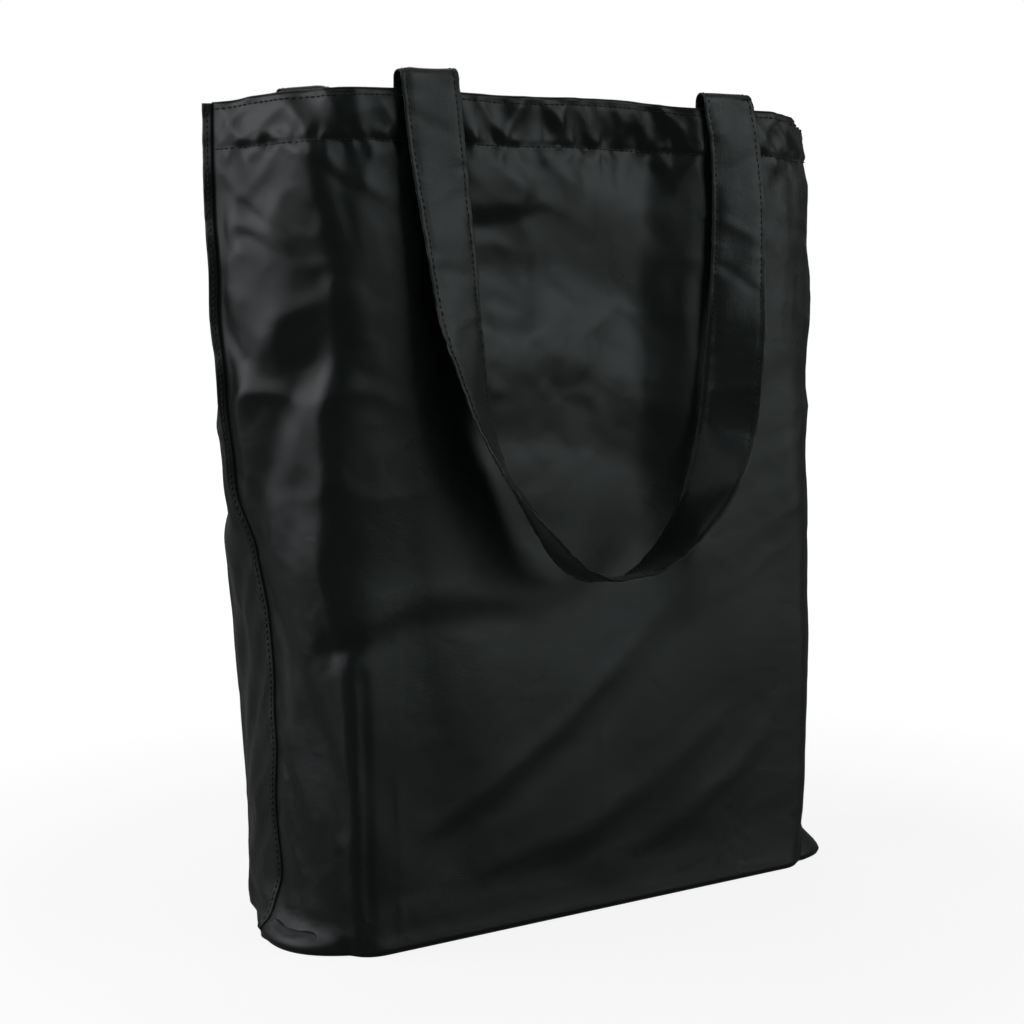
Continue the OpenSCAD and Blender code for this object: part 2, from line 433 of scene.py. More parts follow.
def front_relief(x, z):
    """Placed folds and sags of the front cloth, outwards in millimetres."""
    front = smooth(-118, -80, x) * smooth(128, 100, x)
    # Beside the left handle it only stands clear of the cloth at one height
    shaded = smooth(288, 306, z) * smooth(352, 338, z)
    sag = -6.0 * smooth(-74 - 34 * shaded, -14 - 34 * shaded, x) * smooth(66, 24, x)
    sag = sag * smooth(402, 366, z) * smooth(70, 220, z)
    strap_pull = 1.5 * np.exp(-(((x - 74) / 24) ** 2)) * smooth(300, 380, z)
    # Beside the right handle the cloth turns away to the left, down to the level of the loop
    turned = 4.2 + 2.4 * smooth(345, 385, z)
    strap_pull = strap_pull - turned * smooth(62, 30, x) * smooth(-30, 30, x) * smooth(150, 215, z)
    phase = (z - 334 + 0.16 * x + 3.0 * np.sin(x / 13.0)) / 82 * 2 * math.pi
    ripples = 2.3 * np.arcsin(0.97 * np.sin(phase)) / 1.33 * smooth(-86, -58, x) * smooth(52, 20, x)
    ripples = ripples * smooth(190, 250, z) * smooth(392, 372, z)
    belly = 0.9 * smooth(0, 60, z) * smooth(240, 110, z) * np.cos(x / 210 * math.pi) * front
    relief = sag + strap_pull + ripples + belly
    for path, width, height in FRONT_FOLDS:
        relief += fold_line(x, z, path, width, height)
    return relief


def press_creases(x, z):
    """Sharp straight creases from the folded state."""
    centre = fold_line(x, z, [(3, 6), (3, 110)], 2.4, 0.5, sharp=True, taper=12)
    centre = centre + fold_line(x, z, [(3, 330), (3, 392)], 2.4, 0.35, sharp=True, taper=15)
    centre = centre + fold_line(x, z, [(3, 110), (3, 330)], 2.4, 0.16, sharp=True, taper=15)
    corner = fold_line(x, z, [(-130, 2), (-130.5, 70), (-132, 143)], 2.6, 0.9, taper=10)
    left = fold_line(x, z, [(-113, 3), (-113, 90)], 2.2, 0.6, sharp=True, taper=12)
    left = left + fold_line(x, z, [(-113, 88), (-112, 160)], 2.2, 0.2, sharp=True, taper=12)
    return centre + left - corner


# Folds of the left gusset: crest as places y and z, width, height outwards, and length of its ends
LEFT_GUSSET_FOLDS = [
    ([(-40, 318), (-29, 292), (-12, 258), (4, 218), (13, 150)], 8, 3.0, 40),
    ([(-56, 308), (-45, 281), (-30, 245), (-14, 206), (-6, 148)], 8, -2.8, 40),
    ([(-50, 346), (-34, 336), (-14, 330)], 10, 1.3, 25),
    ([(-44, 366), (-28, 358), (-12, 350)], 9, -1.1, 25),
    ([(-46, 236), (-32, 196), (-20, 150)], 11, -1.4, 25),
    ([(-54, 176), (-40, 150), (-26, 118), (-16, 84)], 8, 1.3, 25),
    ([(-58, 9), (-46, 13), (-26, 14), (-8, 11)], 6, -1.0, 14),
]


def gusset_relief(y, z, left):
    """Folds of the gusset's front half, outwards in millimetres."""
    if not left:
        ear = 6.5 * np.exp(-(((y + 43) / 12) ** 2)) * np.clip(1 - z / 38, 0, 1) ** 1.3
        return (
            ear
            + fold_line(y, z, [(-40, 330), (-22, 250), (-10, 180)], 9, 2.2)
            - fold_line(y, z, [(-50, 200), (-20, 120), (-8, 60)], 10, 1.8)
        )
    relief = 4.2 * smooth(212, 306, z) * smooth(388, 316, z) * smooth(-54, -30, y)
    for path, width, height, taper in LEFT_GUSSET_FOLDS:
        relief += fold_line(y, z, path, width, height, taper=taper)
    return relief


def pinch(x, y, z):
    """The small dent where the left corner's soft rounding turns into a crease."""
    d = np.sqrt(((x + 141) / 10) ** 2 + ((y + 59) / 10) ** 2 + ((z - 148) / 6) ** 2)
    return -3.2 * np.exp(-(d**2))


def hem_puckers(u, v, seed):
    """Gathers of the hem along its line of stitching."""
    depth = BAG_H - v
    row = np.exp(-(((depth - HEM_H + 1.5) / 2.0) ** 2))
    top = np.exp(-(((depth - 2.6) / 1.4) ** 2))
    within = smooth(HEM_H + 4, HEM_H - 2, depth)
    below = smooth(HEM_H + 34, HEM_H + 1, depth) * (1 - within)
    puff = within * np.sin(np.clip(depth / HEM_H, 0, 1) * math.pi)
    wave = ripple(u, v, 10.0, seed, (1.0, 5.0))
    wide = facets(u + 0.5 * depth, v, 52.0, seed + 1, (1.0, 1.6), 0.1)
    wide = wide + 0.7 * facets(u - 0.6 * depth, v, 31.0, seed + 6, (1.0, 1.8), 0.08)
    patch = smooth(-0.5, 1.2, ripple(u, v, 70.0, seed + 4, (1.0, 3.0)))
    tight = ripple(u, v, 6.4, seed + 2, (1.0, 3.0))
    near_row = np.exp(-(((depth - HEM_H + 1.5) / 6.0) ** 2))
    return (
        puff * (0.7 + 0.34 * wave * patch) + within * 1.25 * wide
        - row * (0.95 + 0.25 * wave + 0.45 * tight)
        + near_row * (0.55 * tight + 0.75 * facets(u, v, 13.0, seed + 9, (1.0, 2.0), 0.08))
        - top * (0.3 + 0.14 * tight)
        + below * (0.2 * wave * patch + 1.05 * wide)
    )


def crinkle(u, v, seed, calm):
    """Fine irregular wrinkles of thin cloth: soft hollows between sharper little ridges."""
    broad = ripple(u, v, 62.0, seed, (1.0, 1.0), 12)
    bent_u = u + 7 * ripple(u, v, 55.0, seed + 31)
    bent_v = v + 7 * ripple(u, v, 48.0, seed + 32)
    large = facets(bent_u, bent_v, 96.0, seed + 7, soft=0.08)
    little = facets(bent_u, bent_v, 38.0, seed + 8, soft=0.1)
    fine = ripple(u, v, 19.0, seed + 5, (1.0, 1.2), 12)
    small = ripple(u, v, 8.0, seed + 9, (1.0, 1.3), 12)
    pleats = ripple(u, v, 7.2, seed + 11, (1.0, 7.0))
    pleats *= smooth(-0.2, 1.0, ripple(u, v, 46.0, seed + 12))
    strength = 0.35 + 0.65 * smooth(-0.3, 1.1, ripple(u, v, 120.0, seed + 3))
    high = 0.22 + 0.78 * smooth(130, 290, v)
    uneven = strength * (0.42 * little * calm + 0.10 * fine + 0.04 * small)
    return 0.22 * broad + high * (1.15 * large * calm + uneven + 0.07 * pleats)


def shell_half(front):
    """Finished outer surface of one half of the bag. The back half is made as a front, and its
    caller mirrors it."""
    grid = loft(front)
    u, z = np.meshgrid(COL_U, ROW_Z)
    seed = 11 if front else 71
    x, y = grid[:, :, 0], grid[:, :, 1]
    normal = normals_of(grid)
    normal[:, :, 2] *= smooth(0, 14, z)
    on_front = smooth(LEFT_FOLD_U - 8, LEFT_FOLD_U + 10, u)
    on_front = on_front * smooth(RIGHT_FOLD_U + 8, RIGHT_FOLD_U - 10, u)
    turned = 1 if front else -1
    relief = on_front * front_relief(x * turned, z)
    relief += on_front * press_creases(x, z)
    left = 1 - smooth(LEFT_FOLD_U - 12, LEFT_FOLD_U + 4, u)
    right = smooth(RIGHT_FOLD_U - 4, RIGHT_FOLD_U + 12, u)
    at_seam = smooth(0, 14, u) * smooth(CLOTH_W, CLOTH_W - 14, u)
    relief += left * at_seam * gusset_relief(y, z, front)
    relief += right * at_seam * gusset_relief(y, z, not front)
    if front:
        relief += pinch(x, y, z)
    relief += hem_puckers(u, z, seed) * smooth(0, 10, u) * smooth(CLOTH_W, CLOTH_W - 10, u)
    calm = 1 - 0.55 * on_front if front else 1
    relief += crinkle(u, z, seed + 20, calm) * smooth(2, 24, z) * at_seam
    # Under the handles the rim is held flat
    for strap_x in (LEFT_STRAP_X, RIGHT_STRAP_X):
        held = np.exp(-(((x - strap_x) / 13) ** 4)) * smooth(BAG_H - 30, BAG_H - 8, z) * on_front
        relief = relief * (1 - held) + held * 0.2
    grid = grid + normal * relief[:, :, None]
    grid[:, :, 2] += rim_height(grid[:, :, 0] * turned) * smooth(BAG_H - 60, BAG_H, z)
    grid = rolled_base(grid)
    # The seams are shared with the other half
    edge = np.maximum(1 - smooth(0, 8, u), smooth(CLOTH_W - 8, CLOTH_W, u))
    base = loft(front)
    base[:, :, 2] += rim_height(base[:, :, 0] * turned) * smooth(BAG_H - 60, BAG_H, z)
    grid = grid * (1 - edge[:, :, None]) + base * edge[:, :, None]
    grid[:, :, 2] = np.maximum(grid[:, :, 2], FLOOR_GAP)
    return grid


def join_seams(front, back):
    """Both halves meet on one seam line at each side, which wavers a little."""
    z = ROW_Z
    for col, seed in ((0, 3), (-1, 4)):
        line = (front[:, col] + back[:, col]) / 2
        sway = ripple(z, z * 0, 38.0, seed) * 0.9 * smooth(4, 40, z)
        line[:, 1] += sway * smooth(BAG_H + 5, BAG_H - 30, z)
        for grid in (front, back):
            shift = line - grid[:, col]
            cols = np.arange(grid.shape[1])
            away = cols if col == 0 else cols[::-1]
            weight = 1 - smooth(0, 14, away)
            grid += shift[:, None, :] * weight[None, :, None]
    return front, back


def mirrored_back(grid):
    """A half made as a front, mirrored to the back."""
    out = grid.copy()
    out[:, :, 1] *= -1
    return out


# Cells across each half and frames of the settling of the cloth
SIM_CELLS = 80
SIM_FRAMES = 26
# Furthest that a point of the cloth may move while it settles
SIM_CAP = 3.0


def settling_piece(verts, index_front, index_back):
    """Coarse mesh of both halves, sewn together at the seams."""
    faces = []
    for index, turned in ((index_front, False), (index_back, True)):
        for r in range(SIM_CELLS):
            for c in range(SIM_CELLS):
                quad = (index[r, c], index[r, c + 1], index[r + 1, c + 1], index[r + 1, c])
                faces.append(quad[::-1] if turned else quad)
    mesh = bpy.data.meshes.new("settling")
    mesh.from_pydata([tuple(v) for v in verts], [], [tuple(int(i) for i in f) for f in faces])
    piece = bpy.data.objects.new("settling", mesh)
    bpy.context.scene.collection.objects.link(piece)
    return piece


def set_cloth(piece, held):
    """Thin cloth with a little spare length, held where held is 1."""
    pins = piece.vertex_groups.new(name="pins")
    for k, weight in enumerate(np.clip(held, 0.015, 1.0)):
        pins.add([k], float(weight), "REPLACE")
    cloth = piece.modifiers.new("Cloth", "CLOTH")
    setting = cloth.settings
    setting.quality = 6
    setting.mass = 0.12
    setting.tension_stiffness = 18
    setting.compression_stiffness = 18
    setting.shear_stiffness = 6
    setting.bending_stiffness = 0.35
    setting.tension_damping = 12
    setting.compression_damping = 12
    setting.air_damping = 4
    setting.shrink_min = -0.010
    setting.vertex_group_mass = "pins"
    setting.pin_stiffness = 1.0
    setting.effector_weights.gravity = 0.25
    cloth.collision_settings.use_collision = False
    cloth.point_cache.frame_start = 1
    cloth.point_cache.frame_end = SIM_FRAMES


def settled_travel(piece, verts):
    """How far each point has moved after the last frame, in millimetres, at most about SIM_CAP."""
    scene = bpy.context.scene
    for k in range(1, SIM_FRAMES + 1):
        scene.frame_set(k)
    done = piece.evaluated_get(bpy.context.evaluated_depsgraph_get()).to_mesh()
    moved = np.zeros(len(done.vertices) * 3)
    done.vertices.foreach_get("co", moved)
    moved = (moved.reshape(-1, 3) - verts) / MM
    scene.frame_set(1)
    bpy.data.objects.remove(piece)
    size = np.linalg.norm(moved, axis=1, keepdims=True)
    return moved * SIM_CAP * np.tanh(size / SIM_CAP) / np.maximum(size, 1e-9)


def settled(front, back):
    """Let the cloth of both halves settle with a little spare length, so that it wrinkles by itself.
    The rim, the side seams and the base fold stay where they are."""
    count = SIM_CELLS + 1
    level = np.linspace(0, 1, count)
    rows = np.interp(np.linspace(0, BAG_H, count), ROW_Z, np.arange(len(ROW_Z)))
    rr, cc = np.meshgrid(rows, np.linspace(0, COLS, count), indexing="ij")
    verts = np.concatenate([sample(half, rr, cc).reshape(-1, 3) for half in (front, back)]) * MM
    index_front = np.arange(count * count).reshape(count, count)
    index_back = index_front + count * count
    index_back[:, 0] = index_front[:, 0]
    index_back[:, -1] = index_front[:, -1]
    height = np.tile((rr * 0 + level[:, None]).ravel(), 2)
    across = np.tile((cc / COLS).ravel(), 2)
    held = np.maximum.reduce([
        smooth(0.012, 0.0, height), smooth(0.955, 1.0, height),
        smooth(0.012, 0.0, across), smooth(0.988, 1.0, across),
    ])
    piece = settling_piece(verts, index_front, index_back)
    set_cloth(piece, held)
    moved = settled_travel(piece, verts)
    grid_row = np.interp(ROW_Z, np.linspace(0, BAG_H, count), np.arange(count))
    grid_col = np.linspace(0, SIM_CELLS, COLS + 1)
    # It wrinkles most at mid height, and more at the sides than on the front and the back
    free = smooth(0, 70, ROW_Z) * smooth(BAG_H, BAG_H - 30, ROW_Z)
    on_side = np.maximum(smooth(LEFT_FOLD_U + 12, LEFT_FOLD_U - 8, COL_U),
                         smooth(RIGHT_FOLD_U - 12, RIGHT_FOLD_U + 8, COL_U))
    calm = 0.22 + 0.33 * on_side
    out = []
    for grid, index in ((front, index_front), (back, index_back)):
        cells = moved[index.ravel()].reshape(count, count, 3)
        travel = sample_smooth(cells, grid_row, grid_col)
        out.append(grid + travel * free[:, None, None] * calm[None, :, None])
    return out


def sample_smooth(cells, rows, cols):
    """Cubic interpolation of a grid at crossing rows and columns."""
    def along(values, at):
        k = np.clip(np.floor(at).astype(int), 0, len(values) - 2)
        t = (at - k).reshape(-1, *([1] * (values.ndim - 1)))
        p0, p1 = values[np.maximum(k - 1, 0)], values[k]
        p2, p3 = values[k + 1], values[np.minimum(k + 2, len(values) - 1)]
        cubic = 3 * (p1 - p2) + p3 - p0
        return p1 + 0.5 * t * (p2 - p0 + t * (2 * p0 - 5 * p1 + 4 * p2 - p3 + t * cubic))

    first = along(cells, rows)
    return along(first.transpose(1, 0, 2), cols).transpose(1, 0, 2)


front_grid = shell_half(True)
back_grid = mirrored_back(shell_half(False))
front_grid, back_grid = join_seams(front_grid, back_grid)
front_grid, back_grid = settled(front_grid, back_grid)
front_normal = normals_of(front_grid)
back_normal = -normals_of(back_grid)


# ---- materials

def new_material(name):
    """Empty material and its node tree."""
    material = bpy.data.materials.new(name)
    material.use_nodes = True
    tree = material.node_tree
    tree.nodes.clear()
    return material, tree


def link(tree, start, out, end, into):
    tree.links.new(start.outputs[out], end.inputs[into])


def noise(tree, scale, detail, place, out="Object"):
    node = tree.nodes.new("ShaderNodeTexNoise")
    node.inputs["Scale"].default_value = scale
    node.inputs["Detail"].default_value = detail
    link(tree, place, out, node, "Vector")
    return node


def bump(tree, strength, distance):
    node = tree.nodes.new("ShaderNodeBump")
    node.inputs["Strength"].default_value = strength
    node.inputs["Distance"].default_value = distance
    return node


def streaks(tree, uv, scale):
    """Thread by thread variation: noise drawn out along one direction of the weave."""
    stretched = tree.nodes.new("ShaderNodeMapping")
    stretched.inputs["Scale"].default_value = scale
    link(tree, uv, 0, stretched, 0)
    return noise(tree, 1.0, 3.0, stretched, 0)


def math_node(tree, operation, a, b=None):
    node = tree.nodes.new("ShaderNodeMath")
    node.operation = operation
    for k, value in enumerate((a, b)):
        if value is None:
            continue
        if isinstance(value, (int, float)):
            node.inputs[k].default_value = value
        else:
            tree.links.new(value, node.inputs[k])
    return node.outputs[0]


def woven(name, dark, light, rough, pitch, weave_depth, crumple, sheen):
    """Thin woven cloth: warp and weft as bump, thread streaks, cloudy colour and gloss, worn edges.
    Pitch and weave_depth are in millimetres."""
    material, tree = new_material(name)
    nodes = tree.nodes
    out = nodes.new("ShaderNodeOutputMaterial")
    shader = nodes.new("ShaderNodeBsdfPrincipled")
    link(tree, shader, 0, out, 0)
    uv = nodes.new("ShaderNodeUVMap")
    uv.uv_map = "UVMap"
    split = nodes.new("ShaderNodeSeparateXYZ")
    link(tree, uv, 0, split, 0)
    turns = 2 * math.pi / (pitch * MM)
    warp = math_node(tree, "SINE", math_node(tree, "MULTIPLY", split.outputs[0], turns))
    weft = math_node(tree, "SINE", math_node(tree, "MULTIPLY", split.outputs[1], turns))
    weave = math_node(tree, "MULTIPLY", warp, weft)

    streak = streaks(tree, uv, (900, 22, 1))
    weft_streak = streaks(tree, uv, (18, 800, 1))
    place = nodes.new("ShaderNodeTexCoord")
    cloud = noise(tree, 16.0, 5.0, place)
    crush = noise(tree, 120.0, 4.0, place)
    crush.inputs["Distortion"].default_value = 0.6

    tone = nodes.new("ShaderNodeValToRGB")
    tone.color_ramp.elements[0].position = 0.3
    tone.color_ramp.elements[0].color = (*dark, 1)
    tone.color_ramp.elements[1].position = 0.72
    tone.color_ramp.elements[1].color = (*light, 1)
    mixed = math_node(tree, "ADD", math_node(tree, "MULTIPLY", streak.outputs[0], 0.55),
                      math_node(tree, "MULTIPLY", cloud.outputs[0], 0.45))
    tree.links.new(mixed, tone.inputs[0])
    wear = nodes.new("ShaderNodeAttribute")
    wear.attribute_name = "wear"
    worn = nodes.new("ShaderNodeMix")
    worn.data_type = "RGBA"
    worn.inputs["B"].default_value = (*[c * 2.1 for c in light], 1)
    tree.links.new(tone.outputs[0], worn.inputs["A"])
    tree.links.new(math_node(tree, "MULTIPLY", wear.outputs["Fac"], 0.55), worn.inputs["Factor"])
    tree.links.new(worn.outputs["Result"], shader.inputs["Base Color"])

    gloss = math_node(tree, "ADD", math_node(tree, "MULTIPLY", cloud.outputs[0], 0.16), rough - 0.08)
    gloss = math_node(tree, "ADD", gloss, math_node(tree, "MULTIPLY", wear.outputs["Fac"], 0.12))
    tree.links.new(gloss, shader.inputs["Roughness"])
    shader.inputs["Specular IOR Level"].default_value = 0.5
    shader.inputs["Specular Tint"].default_value = (0.90, 1.0, 0.985, 1)
    shader.inputs["Sheen Weight"].default_value = sheen
    shader.inputs["Sheen Roughness"].default_value = 0.45

    crumpled = bump(tree, crumple, 0.0012)
    link(tree, crush, 0, crumpled, "Height")
    speck = noise(tree, 1300.0, 2.0, place)
    grain = bump(tree, 0.5, 0.00015)
    link(tree, speck, 0, grain, "Height")
    link(tree, crumpled, 0, grain, "Normal")
    threads = bump(tree, 0.5, weave_depth * MM)
    uneven = math_node(tree, "ADD", streak.outputs[0], weft_streak.outputs[0])
    height = math_node(tree, "ADD", weave, uneven)
    tree.links.new(height, threads.inputs["Height"])
    link(tree, grain, 0, threads, "Normal")
    link(tree, threads, 0, shader, "Normal")
    return material


def twisted_thread(name, tone):
    """Sewing thread with fine twist lines."""
    material, tree = new_material(name)
    nodes = tree.nodes
    out = nodes.new("ShaderNodeOutputMaterial")
    shader = nodes.new("ShaderNodeBsdfPrincipled")
    link(tree, shader, 0, out, 0)
    uv = nodes.new("ShaderNodeUVMap")
    uv.uv_map = "UVMap"
    wave = nodes.new("ShaderNodeTexWave")
    wave.bands_direction = "DIAGONAL"
    wave.inputs["Scale"].default_value = 1400.0
    link(tree, uv, 0, wave, 0)
    twist = bump(tree, 0.4, 0.00005)
    link(tree, wave, "Fac", twist, "Height")
    link(tree, twist, 0, shader, "Normal")
    patches = noise(tree, 60.0, 2.0, nodes.new("ShaderNodeTexCoord"))
    ramp = nodes.new("ShaderNodeValToRGB")
    ramp.color_ramp.elements[0].color = (*[c * 0.7 for c in tone], 1)
    ramp.color_ramp.elements[1].color = (*[c * 1.5 for c in tone], 1)
    link(tree, patches, 0, ramp, 0)
    link(tree, ramp, 0, shader, "Base Color")
    shader.inputs["Roughness"].default_value = 0.55
    shader.inputs["Sheen Weight"].default_value = 0.1
    return material


SHELL = woven("shell_cloth", (0.0060, 0.0084, 0.0080), (0.0094, 0.0125, 0.0119), rough=0.25, pitch=0.95,
              weave_depth=0.09, crumple=0.25, sheen=0.05)
# Painted light: the straps are the same black nylon as the shell, with the colour raised so they look
# more brightly lit than the front
STRAP = woven("strap_cloth", (0.0085, 0.0114, 0.0108), (0.0130, 0.0168, 0.0161), rough=0.28, pitch=0.8,
              weave_depth=0.08, crumple=0.2, sheen=0.08)
THREAD = twisted_thread("black_thread", (0.006, 0.007, 0.008))


# ---- cloth pieces


def close_mouth(piece):
    """The piece rides on the back half."""
    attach(piece, "back_half")
    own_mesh(piece)


def finish_cloth(piece):
    piece.data.materials.append(SHELL)


def finish_thread(piece):
    piece.data.materials.append(THREAD)


def grid_uv(rows, cols):
    u, v = np.meshgrid(cols, rows)
    return np.stack([u, v], axis=2)


def shell_wear(u, v):
    """Share of wear at the rim, along the corner folds and where the bag stands."""
    rim = np.exp(-(((BAG_H - v) / 1.2) ** 2))
    fold = np.exp(-(((u - LEFT_FOLD_U) / 2.0) ** 2)) * smooth(150, 120, v)
    fold = fold + np.exp(-(((u - RIGHT_FOLD_U) / 2.0) ** 2)) * 0.6
    ground = np.exp(-((v / 2.5) ** 2))
    patchy = 0.5 + 0.5 * smooth(-0.6, 0.9, ripple(u, v, 30.0, 55))
    return np.clip((0.6 * rim + 0.45 * fold + 0.5 * ground) * patchy, 0, 1)


def cloth_panels():
    """Front and back cloth, each from seam to seam."""
    uv = grid_uv(ROW_Z, COL_U)
    wear = shell_wear(uv[:, :, 0], uv[:, :, 1])
    front = thick_grid("front_cloth", front_grid, front_normal, CLOTH_T, uv, wear)
    flipped = back_grid[:, ::-1]
    back = thick_grid("back_cloth", flipped, back_normal[:, ::-1], CLOTH_T, uv[:, ::-1],
                      wear[:, ::-1])
    for piece, nodes in (
        (front, ("front_panel", "left_gusset_front", "right_gusset_front")),
        (back, ("back_panel", "left_gusset_back", "right_gusset_back")),
    ):
        finish_cloth(piece)
        close_mouth(piece)
        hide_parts(*nodes)


def base_cloth():
    """Base between the front and back folds, lying on the floor with a little slack."""
    steps = 48
    share = np.linspace(0, 1, steps + 1)[:, None, None]
    low_front, low_back = front_grid[0], back_grid[0]
    grid = low_front[None] * (1 - share) + low_back[None] * share
    inner = np.sin(np.linspace(0, math.pi, steps + 1))[:, None] * np.ones(COLS + 1)[None]
    x, y = grid[:, :, 0], grid[:, :, 1]
    span = np.abs(low_back[:, 1] - low_front[:, 1])[None]
    rise = 0.45 + 0.35 * inner * smooth(4, 40, span) * (1 + ripple(x, y, 34.0, 91))
    from_edge = span * share[:, :, 0] * (1 - share[:, :, 0]) * 4
    grid[:, :, 2] = np.clip(rise, 0.4, 2.0) * smooth(0, 3, from_edge) + 0.05
    uv = np.stack([x, y], axis=2)
    normal = np.zeros_like(grid)
    normal[:, :, 2] = -1
    wear = 0.35 * smooth(0, 1, ripple(x, y, 22.0, 92))
    piece = thick_grid("base_cloth", grid[::-1], normal[::-1], LINING_T, uv[::-1], wear[::-1])
    merge_doubles(piece)
    finish_cloth(piece)
    close_mouth(piece)
    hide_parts("base_panel")


def hem_band(name, grid, normal, nodes, seed, flip):
    """The turned-in layer of the hem: it rolls over the rim and ends on a folded edge inside."""
    angles = np.linspace(0, math.pi, 7)
    depth = np.concatenate([[1.0], np.linspace(2.2, HEM_H, 17)])
    row_index = np.interp(BAG_H - depth, ROW_Z, np.arange(len(ROW_Z)))
    cols = np.arange(COLS + 1)
    rr, cc = np.meshgrid(row_index, cols, indexing="ij")
    place = sample(grid, rr, cc)
    out = sample(normal, rr, cc)
    d = depth[:, None] + 0 * cc
    u = COL_U[None, :] + 0 * rr
    loose = 0.35 * (1 + ripple(u, d, 12.0, seed, (1, 4))) * smooth(4, 14, d)
    gap = RIM_R * 2 + 0.15 * smooth(0, 3, d) + loose
    gap = gap - 0.6 * smooth(HEM_H - 5, HEM_H - 1.5, d)
    held = 0 * gap
    for strap_x in (LEFT_STRAP_X, RIGHT_STRAP_X):
        beside = np.exp(-(((place[:, :, 0] - strap_x) / 17) ** 6))
        held = held + beside * (np.abs(place[:, :, 1]) > 50)
    held = np.clip(held, 0, 1)
    gap = gap * (1 - held) + 1.35 * held
    place = place - out * gap[:, :, None]
    level = normal[-1].copy()
    level[:, 2] = 0
    level /= np.linalg.norm(level, axis=1, keepdims=True)
    roll = []
    for a in angles:
        inward = level * (0.12 - RIM_R * (1 - math.cos(a)))
        roll.append(grid[-1] + inward + np.array([0, 0, RIM_R * math.sin(a)]))
    place = np.concatenate([np.array(roll), place])
    uv = grid_uv(np.concatenate([BAG_H + angles * RIM_R, BAG_H + 2.2 + depth]), COL_U)
    rim_wear = 0.55 * smooth(-0.5, 1.0, ripple(COL_U, COL_U * 0, 14.0, 33))
    edge_wear = 0.5 * np.exp(-(((d - HEM_H) / 1.5) ** 2))
    wear = np.concatenate([np.tile(rim_wear, (len(angles), 1)), edge_wear])
    if flip:
        place, uv, wear = place[:, ::-1], uv[:, ::-1], wear[:, ::-1]
    piece = thick_grid(name, place, normals_of(place), LINING_T, uv, wear)
    finish_cloth(piece)
    close_mouth(piece)
    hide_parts(*nodes)


def flange_frame(col, side, seed):
    """Root line of a side seam's flange, the direction it stands out in and its face's normal. Side
    is -1 at the left and 1 at the right."""
    line = front_grid[:, col]
    z = line[:, 2]
    zero = 0 * z
    flutter = 0.10 * ripple(z, zero, 30.0, seed) + 0.05 * ripple(z, zero, 9.0, seed + 1)
    turn = math.radians(32) + flutter
    standing = np.stack([side * np.cos(turn), np.sin(turn), zero], axis=1)
    if side < 0:
        # Low down it lies backwards on the gusset
        along = back_grid[:, 5] - back_grid[:, 0]
        along[:, 2] = 0
        for _ in range(60):
            along[1:-1] = (along[:-2] + along[1:-1] * 2 + along[2:]) / 4
        along /= np.linalg.norm(along, axis=1, keepdims=True)
        outward = np.stack([along[:, 1], -along[:, 0], zero], axis=1)
        outward *= np.sign(-outward[:, :1])
        lying = along * 0.985 + outward * (0.26 + 0.4 * flutter[:, None])
        share = smooth(250, 176, z)[:, None]
        way = standing * (1 - share) + lying * share
        line = line + outward * 0.3 * share
    else:
        way = standing
    way /= np.linalg.norm(way, axis=1, keepdims=True)
    face = np.stack([-way[:, 1], way[:, 0], zero], axis=1)
    face *= np.sign(face[:, :1] * 0.3 * side - face[:, 1:2])
    return line, way, face


def side_flange(name, col, side, node, seed):
    """Seam allowance that stands out along a side seam, bound and slightly wavy."""
    line, way, out = flange_frame(col, side, seed)
    z = line[:, 2]
    # Half its thickness at distances from the seam: full at the seam, thin at the thread
    across = np.array([0.0, 0.35, 0.7, 1.6, 2.6, 3.6, 4.3, 4.6])
    half = np.array([0.15, 0.52, 0.6, 0.55, 0.42, 0.5, 0.45, 0.1])
    profile = list(zip(across, half)) + list(zip(across[::-1], -half[::-1]))
    profile.append(profile[0])
    grid = np.stack([line + way * w + out * h for w, h in profile], axis=1)[2:]
    rows, cols = grid.shape[:2]
    faces = grid_faces(rows, cols, flip=side < 0)
    last = (rows - 1) * cols
    bottom = tuple(range(cols - 1))
    top = tuple(last + k for k in range(cols - 1))
    faces += [bottom if side > 0 else bottom[::-1], top[::-1] if side > 0 else top]
    uv = grid_uv(z[2:], np.arange(cols) * 1.2)
    to_edge = np.concatenate([across, across[::-1], [0]]) - 4.5
    wear = np.tile(np.exp(-((to_edge / 0.6) ** 2)) * 0.6, (rows, 1))
    piece = add_object(name, grid.reshape(-1, 3) * MM, faces, uv.reshape(-1, 2) * MM, wear.ravel())
    merge_doubles(piece)
    finish_cloth(piece)
    close_mouth(piece)
    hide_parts(node)


def merge_doubles(piece, distance=1e-6):
    """Merge points that lie on each other, and turn all faces outwards."""
    bm = bmesh.new()
    bm.from_mesh(piece.data)
    bmesh.ops.remove_doubles(bm, verts=bm.verts, dist=distance)
    bmesh.ops.recalc_face_normals(bm, faces=bm.faces)
    bm.to_mesh(piece.data)
    bm.free()


